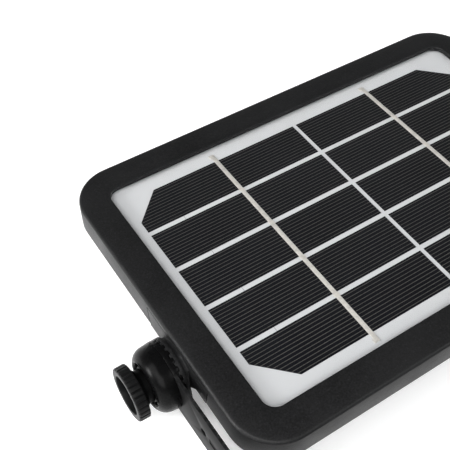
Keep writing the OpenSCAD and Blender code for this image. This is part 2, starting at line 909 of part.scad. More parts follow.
front_housing();
bezel();
body_seal();
housing_screws();
panel_board();
solar_cells();
cell_ribbons();
panel_glazing();
panel_seal();
lens_frame();
lens_seal();
lens();
reflector();
led_board();
leds();
heat_spreader();
led_board_screws();
battery_holder();
battery_cells();
battery_contacts();
battery_pad();
control_board();
board_components();
board_screws();
usb_port();
usb_flap();
tact_switch();
switch_plunger();
power_button();
button_collar();
indicator_lens();
vent_plug();
panel_wires();
battery_wires();
led_wires();
pivot_insert(-1);  // left_pivot_insert
pivot_insert(1);  // right_pivot_insert
bracket();
tooth_ring(-1);  // left_tooth_ring
tooth_ring(1);  // right_tooth_ring
pivot_cap(-1);  // left_pivot_cap
pivot_cap(1);  // right_pivot_cap
knob_washer(-1);  // left_knob_washer
knob_washer(1);  // right_knob_washer
knob(-1);  // left_knob
knob(1);  // right_knob
knob_bolt(-1);  // left_knob_bolt
knob_bolt(1);  // right_knob_bolt
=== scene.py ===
"""Finished pieces, materials and studio stage of a solar flood light.

The lamp lies on its light side. Its bezel, solar panel, pivots, knobs and bracket are
modelled here in place of the plain frame nodes; everything else gets its own finish.
"""
import json
import math

import bmesh
import bpy
from bpy.props import (FloatProperty, FloatVectorProperty, IntProperty, PointerProperty)
from mathutils import Matrix, Vector


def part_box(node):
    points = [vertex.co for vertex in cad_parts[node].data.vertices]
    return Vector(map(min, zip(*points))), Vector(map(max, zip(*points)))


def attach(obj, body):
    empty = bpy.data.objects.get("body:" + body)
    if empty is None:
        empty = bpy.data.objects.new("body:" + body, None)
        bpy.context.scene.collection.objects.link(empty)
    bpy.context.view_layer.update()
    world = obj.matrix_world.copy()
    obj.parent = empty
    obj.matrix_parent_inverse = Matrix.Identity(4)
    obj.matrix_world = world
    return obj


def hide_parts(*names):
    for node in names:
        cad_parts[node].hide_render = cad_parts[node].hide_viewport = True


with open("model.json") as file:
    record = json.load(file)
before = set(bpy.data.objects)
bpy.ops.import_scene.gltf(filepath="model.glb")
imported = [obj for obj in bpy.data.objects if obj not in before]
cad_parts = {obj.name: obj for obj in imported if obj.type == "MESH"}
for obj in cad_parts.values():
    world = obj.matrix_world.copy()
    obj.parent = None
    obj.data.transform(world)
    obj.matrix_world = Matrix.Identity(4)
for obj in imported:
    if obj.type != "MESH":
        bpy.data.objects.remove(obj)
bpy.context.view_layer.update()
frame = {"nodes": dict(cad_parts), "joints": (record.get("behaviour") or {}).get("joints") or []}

bl_info = {
    "name": "Solar Flood Light Finish",
    "version": (1, 0, 0),
    "blender": (4, 5, 0),
    "location": "View3D > Sidebar > Flood Light",
    "description": "Builds the finished pieces, materials and stage of a solar flood light",
    "category": "Object",
}

MM = 0.001
BEZEL_LO, BEZEL_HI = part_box("bezel")
BODY = (BEZEL_LO + BEZEL_HI) / 2
CELLS_LO, CELLS_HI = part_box("solar_cells")
BOARD_LO, BOARD_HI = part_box("panel_board")
GLAZING_LO, GLAZING_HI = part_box("panel_glazing")
PIVOT = Vector(next(j["pos_m"] for j in frame["joints"] if j["name"] == "bracket_tilt"))
SIDES = {"left": -1, "right": 1}
ROWS = 5
ROW_STEP = 19.5 * MM
FIRST_GAP = 18.5 * MM


# ---- Settings ----

class LampSizes(bpy.types.PropertyGroup):
    """Sizes of the finished pieces"""
    bezel_width: FloatProperty(
        name="Bezel Width", description="Width of the bezel's top face",
        default=12 * MM, unit="LENGTH")
    window_radius: FloatProperty(
        name="Window Radius", description="Corner radius of the bezel's window",
        default=4.8 * MM, unit="LENGTH")
    fold_radius: FloatProperty(
        name="Fold Radius", description="Radius where the bezel turns down into its skirt",
        default=1.3 * MM, unit="LENGTH")
    bezel_wall: FloatProperty(
        name="Bezel Wall", description="Thickness of the bezel's walls",
        default=1.9 * MM, unit="LENGTH")
    ribbon_width: FloatProperty(
        name="Ribbon Width", description="Width of the tinned ribbons across the cells",
        default=1.8 * MM, unit="LENGTH")
    finger_pitch: FloatProperty(
        name="Finger Pitch", description="Distance between the fine silver fingers",
        default=1.43 * MM, unit="LENGTH")
    finger_width: FloatProperty(
        name="Finger Width", description="Width of one silver finger",
        default=0.17 * MM, unit="LENGTH")
    flute_count: IntProperty(
        name="Flutes", description="Number of flutes round each knob", default=30, min=12)
    flute_depth: FloatProperty(
        name="Flute Depth", description="Depth of the knob's flutes",
        default=0.42 * MM, unit="LENGTH")


class LampColours(bpy.types.PropertyGroup):
    """Base colours of the finishes"""
    plastic: FloatVectorProperty(
        name="Case Plastic", description="Grained plastic of the bezel and housing",
        subtype="COLOR", size=3, default=(0.0090, 0.0091, 0.0094))
    pivot: FloatVectorProperty(
        name="Pivot Plastic", description="Smoother plastic of the caps and knobs",
        subtype="COLOR", size=3, default=(0.0030, 0.0030, 0.0031))
    bracket: FloatVectorProperty(
        name="Bracket Coat", description="Powder coat of the steel bracket",
        subtype="COLOR", size=3, default=(0.0075, 0.0075, 0.0077))
    silicon: FloatVectorProperty(
        name="Silicon", description="Dark face of the solar cells",
        subtype="COLOR", size=3, default=(0.0036, 0.0040, 0.0056))
    finger: FloatVectorProperty(
        name="Fingers", description="Printed silver fingers on the cells",
        subtype="COLOR", size=3, default=(0.13, 0.125, 0.115))
    ribbon: FloatVectorProperty(
        name="Ribbon", description="Tinned ribbons",
        subtype="COLOR", size=3, default=(0.86, 0.83, 0.77))
    back_sheet: FloatVectorProperty(
        name="Back Sheet", description="White sheet behind the cells",
        subtype="COLOR", size=3, default=(0.655, 0.665, 0.675))
    floor: FloatVectorProperty(
        name="Floor", description="Pale studio floor",
        subtype="COLOR", size=3, default=(0.92, 0.92, 0.92))


class LampCamera(bpy.types.PropertyGroup):
    """The main camera and the spot that it looks at"""
    turn: FloatProperty(
        name="Turn", description="Camera's direction round the lamp, from the front",
        subtype="ANGLE", unit="ROTATION", default=math.radians(-32.9))
    rise: FloatProperty(
        name="Rise", description="Camera's angle above the floor",
        subtype="ANGLE", unit="ROTATION", default=math.radians(49.65))
    distance: FloatProperty(
        name="Distance", description="Distance from the panel spot to the camera",
        default=295.7 * MM, unit="LENGTH")
    spot_x: FloatProperty(
        name="Spot Across", description="Spot on the panel, across from its middle",
        default=-53.7 * MM, unit="LENGTH")
    spot_y: FloatProperty(
        name="Spot Along", description="Spot on the panel, back from its middle",
        default=17.45 * MM, unit="LENGTH")
    lens: FloatProperty(
        name="Focal Length", description="Focal length in millimetres", default=64.16, unit="CAMERA")


def sizes():
    return bpy.context.scene.lamp_sizes


def colours():
    return bpy.context.scene.lamp_colours


# ---- Making and finishing pieces ----

def make_piece(bm, name, body, material, replaces=(), sharp=35):
    """Turns a bmesh into a finished object that rides on a body"""
    bmesh.ops.remove_doubles(bm, verts=bm.verts, dist=2e-7)
    mesh = bpy.data.meshes.new(name)
    bm.to_mesh(mesh)
    bm.free()
    mesh.shade_smooth()
    mesh.set_sharp_from_angle(angle=math.radians(sharp))
    piece = bpy.data.objects.new(name, mesh)
    bpy.context.scene.collection.objects.link(piece)
    mesh.materials.append(material)
    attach(piece, body)
    if replaces:
        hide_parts(*replaces)
    return piece


def outward(bm):
    """Merges doubled points and points every face outwards"""
    bmesh.ops.remove_doubles(bm, verts=bm.verts, dist=2e-7)
    bmesh.ops.recalc_face_normals(bm, faces=bm.faces)


def node_copy(node):
    """A merged copy of a frame node's mesh, with its flat faces joined up"""
    bm = bmesh.new()
    bm.from_mesh(frame["nodes"][node].data)
    bmesh.ops.remove_doubles(bm, verts=bm.verts, dist=2e-7)
    bmesh.ops.dissolve_limit(
        bm, angle_limit=math.radians(0.4), verts=bm.verts, edges=bm.edges,
        use_dissolve_boundaries=False, delimit={"NORMAL"})
    return bm


def soften(bm, width, angle=32, segments=2):
    """Bevels every edge that is sharper than the angle"""
    limit = math.radians(angle)
    edges = [e for e in bm.edges if len(e.link_faces) == 2 and e.calc_face_angle(0) > limit]
    bmesh.ops.bevel(
        bm, geom=edges, offset=width, offset_type="OFFSET", segments=segments, profile=0.5,
        affect="EDGES", clamp_overlap=True, material=-1, loop_slide=True)


def paint_nodes(material, *nodes):
    """Gives frame nodes a finish in place of their plain one"""
    for node in nodes:
        mesh = frame["nodes"][node].data
        mesh.materials.clear()
        mesh.materials.append(material)


def arc(centre, radius, start, end, steps):
    """Points on an arc, angles in degrees"""
    return [(centre[0] + radius * math.cos(math.radians(start + (end - start) * i / steps)),
             centre[1] + radius * math.sin(math.radians(start + (end - start) * i / steps)))
            for i in range(steps + 1)]


def outline_edges(bm, points, closed):
    """Vertices through the points, joined by edges"""
    verts = [bm.verts.new(p) for p in points]
    pairs = list(zip(verts, verts[1:]))
    if closed:
        pairs.append((verts[-1], verts[0]))
    return verts + [bm.edges.new(pair) for pair in pairs]


def turned_on_pivot(side, profile, steps=96):
    """Spins a profile of (distance out from the middle, radius) about the pivot axis"""
    bm = bmesh.new()
    points = [(side * out, PIVOT.y, PIVOT.z + radius) for out, radius in profile]
    geom = outline_edges(bm, points, closed=True)
    bmesh.ops.spin(
        bm, geom=geom, cent=PIVOT, axis=(1, 0, 0), dvec=(0, 0, 0), angle=2 * math.pi,
        steps=steps, use_merge=True, use_duplicate=False)
    outward(bm)
    return bm


def box_bm(low, high):
    """A box between two corners"""
    bm = bmesh.new()
    low, high = Vector(low), Vector(high)
    grow = Matrix.Diagonal((*(high - low), 1))
    bmesh.ops.create_cube(bm, size=1, matrix=Matrix.Translation((low + high) / 2) @ grow)
    return bm


def join_into(target, source):
    """Adds one bmesh to another and frees the source"""
    mesh = bpy.data.meshes.new("joined")
    source.to_mesh(mesh)
    source.free()
    target.from_mesh(mesh)
    bpy.data.meshes.remove(mesh)


def carve(bm, cutter):
    """Cuts the cutter's shape out of a bmesh"""
    objects = []
    for source in (bm, cutter):
        mesh = bpy.data.meshes.new("carving")
        source.to_mesh(mesh)
        source.free()
        obj = bpy.data.objects.new("carving", mesh)
        bpy.context.scene.collection.objects.link(obj)
        objects.append(obj)
    body, tool = objects
    boolean = body.modifiers.new("cut", "BOOLEAN")
    boolean.operation = "DIFFERENCE"
    boolean.solver = "EXACT"
    boolean.object = tool
    bpy.context.view_layer.update()
    carved = bmesh.new()
    carved.from_object(body, bpy.context.evaluated_depsgraph_get())
    for obj in objects:
        mesh = obj.data
        bpy.data.objects.remove(obj)
        bpy.data.meshes.remove(mesh)
    return carved


# ---- Materials ----

def new_material(name):
    """A material, its node tree and its Principled shader"""
    material = bpy.data.materials.new(name)
    material.use_nodes = True
    tree = material.node_tree
    return material, tree, tree.nodes["Principled BSDF"]


def add(tree, kind, sockets=None, **settings):
    """A node with its settings, and with values or links on its inputs"""
    node = tree.nodes.new(kind)
    for key, value in settings.items():
        setattr(node, key, value)
    for key, value in (sockets or {}).items():
        if isinstance(value, bpy.types.NodeSocket):
            tree.links.new(value, node.inputs[key])
        else:
            node.inputs[key].default_value = value
    return node


def place(tree):
    """Object coordinates"""
    return add(tree, "ShaderNodeTexCoord").outputs["Object"]


def noise(tree, vector, size, detail=2.0, rough=0.5):
    """Noise whose features are about the given size in metres"""
    return add(tree, "ShaderNodeTexNoise", {
        "Vector": vector, "Scale": 1 / size, "Detail": detail, "Roughness": rough}).outputs["Fac"]


def ranged(tree, value, low, high, to_low, to_high):
    """Maps a value's range onto another, clamped"""
    return add(tree, "ShaderNodeMapRange", {
        "Value": value, "From Min": low, "From Max": high,
        "To Min": to_low, "To Max": to_high}).outputs["Result"]


def blend(tree, factor, first, second):
    """A colour between two colours"""
    mix = add(tree, "ShaderNodeMix", data_type="RGBA")
    for index, value in ((0, factor), (6, first), (7, second)):
        if isinstance(value, bpy.types.NodeSocket):
            tree.links.new(value, mix.inputs[index])
        else:
            mix.inputs[index].default_value = value if index == 0 else (*value[:3], 1)
    return mix.outputs[2]


def maths(tree, operation, first, second=0.0, third=0.0):
    """One maths node"""
    node = add(tree, "ShaderNodeMath", operation=operation)
    for index, value in enumerate((first, second, third)):
        if isinstance(value, bpy.types.NodeSocket):
            tree.links.new(value, node.inputs[index])
        else:
            node.inputs[index].default_value = value
    return node.outputs[0]


def bumped(tree, height, depth, strength=1.0):
    """A bump normal from a height, with its depth in metres"""
    return add(tree, "ShaderNodeBump", {
        "Height": height, "Distance": depth, "Strength": strength}).outputs["Normal"]


def shifted(colour, factor):
    return tuple(min(1.0, c * factor) for c in colour[:3])


def grained_plastic(name, colour, roughness, grain, depth, specular=0.45):
    """Moulded plastic with a fine spark-eroded grain, faint mottling and a little dust"""
    material, tree, shader = new_material(name)
    spot = place(tree)
    fine = noise(tree, spot, grain, 3.0, 0.6)
    broad = noise(tree, spot, 22 * MM, 4.0, 0.55)
    dust = ranged(tree, noise(tree, spot, 0.55 * MM, 1.0), 0.66, 0.78, 0.0, 0.35)
    body = blend(
        tree, ranged(tree, fine, 0.35, 0.65, 0.0, 1.0), shifted(colour, 0.6), shifted(colour, 1.5))
    mottled = blend(tree, ranged(tree, broad, 0.35, 0.7, 0.0, 0.4), body, shifted(colour, 1.7))
    dusty = blend(tree, dust, mottled, shifted(colour, 3.2))
    tree.links.new(dusty, shader.inputs["Base Color"])
    tree.links.new(
        ranged(tree, broad, 0.3, 0.7, roughness - 0.05, roughness + 0.07), shader.inputs["Roughness"])
    shader.inputs["Specular IOR Level"].default_value = specular
    tree.links.new(bumped(tree, fine, depth), shader.inputs["Normal"])
    return material


def satin_plastic(name, colour, roughness, specular=0.5):
    """Smooth nylon with handling marks: slight gloss changes and faint fine rubs"""
    material, tree, shader = new_material(name)
    spot = place(tree)
    broad = noise(tree, spot, 3 * MM, 4.0, 0.65)
    fine = noise(tree, spot, 0.3 * MM, 2.0)
    stretched = add(
        tree, "ShaderNodeMapping", {"Vector": spot, "Scale": (1.0, 0.12, 0.12)}).outputs[0]
    rubs = ranged(tree, noise(tree, stretched, 0.35 * MM, 2.0), 0.62, 0.8, 0.0, 0.3)
    tinted = blend(
        tree, ranged(tree, broad, 0.3, 0.7, 0.0, 1.0), shifted(colour, 0.9), shifted(colour, 1.15))
    tree.links.new(blend(tree, rubs, tinted, shifted(colour, 2.0)), shader.inputs["Base Color"])
    tree.links.new(
        ranged(tree, broad, 0.3, 0.7, roughness - 0.02, roughness + 0.03), shader.inputs["Roughness"])
    shader.inputs["Specular IOR Level"].default_value = specular
    tree.links.new(bumped(tree, fine, 0.003 * MM), shader.inputs["Normal"])
    return material


def powder_coat(name, colour):
    """Dark powder coat on steel strip, rubbed thin along the two sheared edges"""
    material, tree, shader = new_material(name)
    spot = place(tree)
    peel = noise(tree, spot, 0.45 * MM, 2.0, 0.5)
    broad = noise(tree, spot, 18 * MM, 4.0)
    height = add(tree, "ShaderNodeSeparateXYZ", {"Vector": spot}).outputs["Z"]
    strip_lo, strip_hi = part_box("bracket")
    middle = (strip_lo.z + strip_hi.z) / 2
    from_edge = maths(tree, "SUBTRACT", (strip_hi.z - strip_lo.z) / 2,
                      maths(tree, "ABSOLUTE", maths(tree, "SUBTRACT", height, middle)))
    streak_place = add(
        tree, "ShaderNodeMapping", {"Vector": spot, "Scale": (0.25, 0.25, 1.6)}).outputs[0]
    streaks = noise(tree, streak_place, 0.5 * MM, 3.0, 0.65)
    edge = ranged(tree, from_edge, 0.05 * MM, 0.45 * MM, 1.0, 0.0)
    wear = maths(tree, "MULTIPLY", edge, ranged(tree, streaks, 0.42, 0.62, 0.0, 1.0))
    tone = blend(
        tree, ranged(tree, broad, 0.3, 0.7, 0.0, 1.0), shifted(colour, 0.85), shifted(colour, 1.2))
    tree.links.new(blend(tree, wear, tone, shifted(colour, 2.6)), shader.inputs["Base Color"])
    tree.links.new(ranged(tree, wear, 0.0, 1.0, 0.40, 0.55), shader.inputs["Roughness"])
    shader.inputs["Specular IOR Level"].default_value = 0.04
    height_mix = maths(
        tree, "ADD", maths(tree, "MULTIPLY", peel, 0.5), maths(tree, "MULTIPLY", wear, streaks))
    tree.links.new(bumped(tree, height_mix, 0.03 * MM), shader.inputs["Normal"])
    return material


def cell_silicon(name):
    """Dark mono silicon with printed silver fingers along X, twelve to a cell"""
    material, tree, shader = new_material(name)
    spot = place(tree)
    axes = add(tree, "ShaderNodeSeparateXYZ", {"Vector": spot})
    rows = 5
    row_step = 19.5 * MM
    cell_depth = (CELLS_HI.y - CELLS_LO.y) - (rows - 1) * row_step
    pitch = sizes().finger_pitch
    margin = (cell_depth - 11 * pitch) / 2
    along = maths(tree, "MODULO", maths(tree, "SUBTRACT", axes.outputs["Y"], CELLS_LO.y), row_step)
    phase = maths(tree, "DIVIDE", maths(tree, "SUBTRACT", along, margin), pitch)
    nearest = maths(tree, "ABSOLUTE", maths(tree, "SUBTRACT", phase, maths(tree, "ROUND", phase)))
    half = sizes().finger_width / pitch / 2
    line = ranged(tree, nearest, half * 0.6, half * 1.5, 1.0, 0.0)
    broken = noise(tree, spot, 0.7 * MM, 2.0)
    ink = maths(tree, "MULTIPLY", line, ranged(tree, broken, 0.28, 0.5, 0.55, 1.0))
    bloom = noise(tree, spot, 30 * MM, 3.0)
    face = blend(tree, ranged(tree, bloom, 0.3, 0.7, 0.0, 1.0),
                 shifted(colours().silicon, 0.85), shifted(colours().silicon, 1.25))
    tree.links.new(blend(tree, ink, face, colours().finger), shader.inputs["Base Color"])
    tree.links.new(ranged(tree, ink, 0.0, 1.0, 0.38, 0.5), shader.inputs["Roughness"])
    shader.inputs["Specular IOR Level"].default_value = 0.15
    shader.inputs["Coat Weight"].default_value = 0.08
    shader.inputs["Coat Roughness"].default_value = 0.1
    return material


def tinned_ribbon(name):
    """Tinned copper, slightly wavy and dulled"""
    material, tree, shader = new_material(name)
    spot = place(tree)
    patch = noise(tree, spot, 2.2 * MM, 4.0, 0.6)
    fine = noise(tree, spot, 0.3 * MM, 2.0)
    base = colours().ribbon
    tree.links.new(
        blend(tree, ranged(tree, patch, 0.35, 0.7, 0.0, 1.0), base, shifted(base, 0.72)),
        shader.inputs["Base Color"])
    shader.inputs["Metallic"].default_value = 0.35
    tree.links.new(ranged(tree, patch, 0.3, 0.7, 0.32, 0.5), shader.inputs["Roughness"])
    height = maths(tree, "ADD", patch, maths(tree, "MULTIPLY", fine, 0.3))
    tree.links.new(bumped(tree, height, 0.03 * MM), shader.inputs["Normal"])
    return material


def back_sheet(name):
    """White fluoropolymer sheet with a very faint cloudiness"""
    material, tree, shader = new_material(name)
    spot = place(tree)
    cloud = noise(tree, spot, 35 * MM, 3.0)
    fibre = noise(tree, spot, 0.6 * MM, 3.0)
    base = colours().back_sheet
    tone = blend(tree, ranged(tree, cloud, 0.3, 0.7, 0.0, 1.0), base, shifted(base, 0.965))
    tree.links.new(
        blend(tree, ranged(tree, fibre, 0.4, 0.8, 0.0, 0.5), tone, shifted(base, 0.95)),
        shader.inputs["Base Color"])
    shader.inputs["Roughness"].default_value = 0.5
    shader.inputs["Coat Weight"].default_value = 0.25
    shader.inputs["Coat Roughness"].default_value = 0.12
    return material


def clear_sheet(name, tint, cover, roughness):
    """Thin clear plastic or glass: mostly see-through, with a faint smear in its gloss"""
    material, tree, shader = new_material(name)
    spot = place(tree)
    smear = noise(tree, spot, 14 * MM, 4.0, 0.6)
    tree.links.new(
        blend(tree, ranged(tree, smear, 0.3, 0.7, 0.0, 1.0), tint, shifted(tint, 0.92)),
        shader.inputs["Base Color"])
    tree.links.new(ranged(tree, smear, 0.3, 0.7, roughness, roughness + 0.05), shader.inputs["Roughness"])
    shader.inputs["Alpha"].default_value = cover
    return material


def brushed_metal(name, colour, roughness, metallic=1.0):
    """Plated or plain metal with fine drawn lines and dull patches"""
    material, tree, shader = new_material(name)
    spot = place(tree)
    drawn = add(tree, "ShaderNodeMapping", {"Vector": spot, "Scale": (0.1, 1.0, 1.0)}).outputs[0]
    lines = noise(tree, drawn, 0.12 * MM, 2.0)
    patch = noise(tree, spot, 4 * MM, 4.0, 0.6)
    tree.links.new(
        blend(tree, ranged(tree, patch, 0.3, 0.7, 0.0, 1.0), colour, shifted(colour, 0.75)),
        shader.inputs["Base Color"])
    shader.inputs["Metallic"].default_value = metallic
    tree.links.new(ranged(tree, patch, 0.3, 0.7, roughness, roughness + 0.15), shader.inputs["Roughness"])
    tree.links.new(bumped(tree, lines, 0.006 * MM), shader.inputs["Normal"])
    return material


def soft_rubber(name, colour):
    """Matte silicone with a fine dusting"""
    material, tree, shader = new_material(name)
    spot = place(tree)
    dust = noise(tree, spot, 0.8 * MM, 4.0, 0.65)
    tree.links.new(
        blend(tree, ranged(tree, dust, 0.45, 0.8, 0.0, 0.6), colour, shifted(colour, 2.4)),
        shader.inputs["Base Color"])
    shader.inputs["Roughness"].default_value = 0.7
    shader.inputs["Sheen Weight"].default_value = 0.15
    tree.links.new(bumped(tree, dust, 0.015 * MM), shader.inputs["Normal"])
    return material


def glossy_paint(name, colour, roughness=0.25):
    """Smooth gloss over a flat colour with slight unevenness"""
    material, tree, shader = new_material(name)
    spot = place(tree)
    wave = noise(tree, spot, 5 * MM, 3.0)
    tree.links.new(
        blend(tree, ranged(tree, wave, 0.3, 0.7, 0.0, 1.0), colour, shifted(colour, 0.88)),
        shader.inputs["Base Color"])
    tree.links.new(ranged(tree, wave, 0.3, 0.7, roughness, roughness + 0.1), shader.inputs["Roughness"])
    tree.links.new(bumped(tree, wave, 0.02 * MM), shader.inputs["Normal"])
    return material


# ---- Bezel ----

def bezel_profile():
    """Closed outline of the bezel's section: distance out from the window, and height"""
    s = sizes()
    top = BEZEL_HI.z
    bottom = BEZEL_LO.z
    width = s.bezel_width
    wall = s.bezel_wall
    lip = 0.45 * MM
    fold = s.fold_radius
    fold_top = top - 0.35 * MM
    crown_start = width * 0.35
    edge = 0.35 * MM
    rib_in = 3.3 * MM
    rib_out = 4.7 * MM
    rib_bottom = bottom + 4 * MM
    seat = GLAZING_HI.z + 0.02 * MM
    points = [(0.0, seat)]
    points += arc((lip, top - lip), lip, 180, 90, 5)
    points += [(crown_start, top), (width * 0.6, top - 0.04 * MM), (width * 0.8, top - 0.16 * MM)]
    points += arc((width - fold, fold_top - fold), fold, 84, 0, 8)
    points += arc((width - edge, bottom + edge), edge, 0, -90, 3)
    points += [(width - wall, bottom), (width - wall, top - wall), (rib_out, top - wall),
               (rib_out, rib_bottom), (rib_in, rib_bottom), (rib_in, seat)]
    return points


def swept_round_window(profile):
    """Sweeps the section along the window's four sides and round its corners"""
    s = sizes()
    radius = s.window_radius
    half = Vector((BODY.x - BEZEL_LO.x - s.bezel_width, BODY.y - BEZEL_LO.y - s.bezel_width))
    straight = (half.x - radius, half.y - radius)
    bm = bmesh.new()
    start = [(BODY.x + half.x + out, BODY.y - straight[1], z) for out, z in profile]
    geom = outline_edges(bm, start, closed=True)
    for quarter in range(4):
        heading = Matrix.Rotation(quarter * math.pi / 2, 3, "Z")
        run = heading @ Vector((0, 2 * straight[1 - quarter % 2], 0))
        geom = bmesh.ops.spin(
            bm, geom=geom, cent=BODY, axis=(0, 0, 1), dvec=run / 8, angle=0,
            steps=8, use_duplicate=False)["geom_last"]
        corner = Vector((straight[0], straight[1], 0))
        if quarter == 1:
            corner.x = -corner.x
        elif quarter == 2:
            corner = -corner
        elif quarter == 3:
            corner.y = -corner.y
        geom = bmesh.ops.spin(
            bm, geom=geom, cent=BODY + corner, axis=(0, 0, 1), dvec=(0, 0, 0),
            angle=math.pi / 2, steps=20, use_duplicate=False)["geom_last"]
    outward(bm)
    return bm


def notch_cutter(side):
    """The tapered notch in the skirt that clears the pivot's pedestal"""
    low_half = 18.3 * MM
    top_half = 19.6 * MM
    reach = 4 * MM
    top = BEZEL_HI.z - 3.1 * MM
    bottom = BEZEL_LO.z - 1 * MM
    inner = BEZEL_HI.x - BODY.x - 2.6 * MM
    bm = bmesh.new()
    corners = [(low_half, bottom), (top_half, top), (-top_half, top), (-low_half, bottom)]
    verts = [bm.verts.new((side * inner, PIVOT.y + y, z)) for y, z in corners]
    bm.faces.new(verts)
    pulled = bmesh.ops.extrude_face_region(bm, geom=bm.faces[:])["geom"]
    moved = [v for v in pulled if isinstance(v, bmesh.types.BMVert)]
    bmesh.ops.translate(bm, verts=moved, vec=(side * reach, 0, 0))
    outward(bm)
    return bm


class LAMP_OT_bezel(bpy.types.Operator):
    """Builds the bezel: a crowned, grained frame with a rounded fold and a deep skirt"""
    bl_idname = "lamp.bezel"
    bl_label = "Bezel"

    def execute(self, context):
        bm = swept_round_window(bezel_profile())
        for side in SIDES.values():
            bm = carve(bm, notch_cutter(side))
        make_piece(bm, "bezel_frame", "housing",
                   bpy.data.materials["case_plastic"], ["bezel"], sharp=40)
        return {"FINISHED"}


class LAMP_OT_front_housing(bpy.types.Operator):
    """Finishes the front housing, its pedestals and its toothed pivot bosses"""
    bl_idname = "lamp.front_housing"
    bl_label = "Front Housing"

    def execute(self, context):
        bm = node_copy("front_housing")
        soften(bm, 0.12 * MM)
        make_piece(bm, "housing_shell", "housing",
                   bpy.data.materials["case_plastic"], ["front_housing"])
        paint_nodes(soft_rubber("seal_rubber", (0.02, 0.02, 0.021)),
                    "body_seal", "panel_seal", "lens_seal", "battery_pad")
        return {"FINISHED"}


# ---- Solar panel ----

def ribbon_strip(x):
    """One tinned ribbon with turned-over ends"""
    s = sizes()
    half = s.ribbon_width / 2
    base = CELLS_HI.z
    lo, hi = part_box("cell_ribbons")
    bm = box_bm((x - half, lo.y, base), (x + half, hi.y, base + 0.13 * MM))
    for sign in (-1, 1):
        end = BODY.y + sign * (hi.y - lo.y) / 2
        foot = box_bm((x - half - 0.5 * MM, end - 0.9 * MM, BOARD_HI.z),
                      (x + half, end + 0.9 * MM, base + 0.08 * MM))
        join_into(bm, foot)
    bmesh.ops.bevel(
        bm, geom=bm.edges[:], offset=0.05 * MM, offset_type="OFFSET", segments=2, profile=0.5,
        affect="EDGES", clamp_overlap=True, material=-1, loop_slide=True)
    return bm


def solder_spots(bm, x):
    """Flattened beads where the ribbon is soldered down between the rows"""
    for gap in range(ROWS - 1):
        y = CELLS_LO.y + FIRST_GAP + gap * ROW_STEP
        flat = Matrix.Diagonal((1.15 * MM, 1.5 * MM, 0.12 * MM, 1))
        where = Matrix.Translation((x, y, CELLS_HI.z + 0.1 * MM))
        bmesh.ops.create_uvsphere(bm, u_segments=20, v_segments=10, radius=1, matrix=where @ flat)


def row_marks():
    """Short pencil-thin tape edges across the white gaps between the rows"""
    half_width = 0.09 * MM
    half_length = 0.95 * MM
    low = BOARD_HI.z - 0.02 * MM
    high = BOARD_HI.z + 0.03 * MM
    bm = bmesh.new()
    x = CELLS_LO.x + 15 * MM
    for gap in range(ROWS - 1):
        y = CELLS_LO.y + FIRST_GAP + gap * ROW_STEP
        join_into(bm, box_bm((x - half_width, y - half_length, low),
                             (x + half_width, y + half_length, high)))
    return bm


def laminate():
    """The clear sheet over the cells, with round corners and a softened rim"""
    gap = 0.5 * MM
    bm = box_bm((GLAZING_LO.x, GLAZING_LO.y, GLAZING_LO.z + gap), GLAZING_HI)
    upright = [e for e in bm.edges if abs(e.verts[0].co.z - e.verts[1].co.z) > gap / 2]
    bmesh.ops.bevel(
        bm, geom=upright, offset=7.7 * MM, offset_type="OFFSET", segments=14, profile=0.5,
        affect="EDGES", clamp_overlap=True, material=-1)
    soften(bm, 0.08 * MM)
    return bm


class LAMP_OT_solar_panel(bpy.types.Operator):
    """Finishes the panel: white board, cells with fingers, ribbons and the clear laminate"""
    bl_idname = "lamp.solar_panel"
    bl_label = "Solar Panel"

    def execute(self, context):
        paint_nodes(back_sheet("white_back_sheet"), "panel_board")
        paint_nodes(cell_silicon("cell_silicon"), "solar_cells")
        lo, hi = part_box("cell_ribbons")
        half = sizes().ribbon_width / 2
        bm = bmesh.new()
        for x in (lo.x + half, hi.x - half):
            join_into(bm, ribbon_strip(x))
            solder_spots(bm, x)
        outward(bm)
        make_piece(bm, "tinned_ribbons", "housing",
                   tinned_ribbon("tinned_ribbon"), ["cell_ribbons"])
        make_piece(row_marks(), "row_tape_marks", "housing",
                   glossy_paint("tape_grey", (0.33, 0.34, 0.35), 0.4))
        make_piece(laminate(), "clear_laminate", "housing",
                   clear_sheet("clear_laminate", (0.02, 0.02, 0.022), 0.05, 0.06), ["panel_glazing"])
        return {"FINISHED"}


# ---- Light window ----

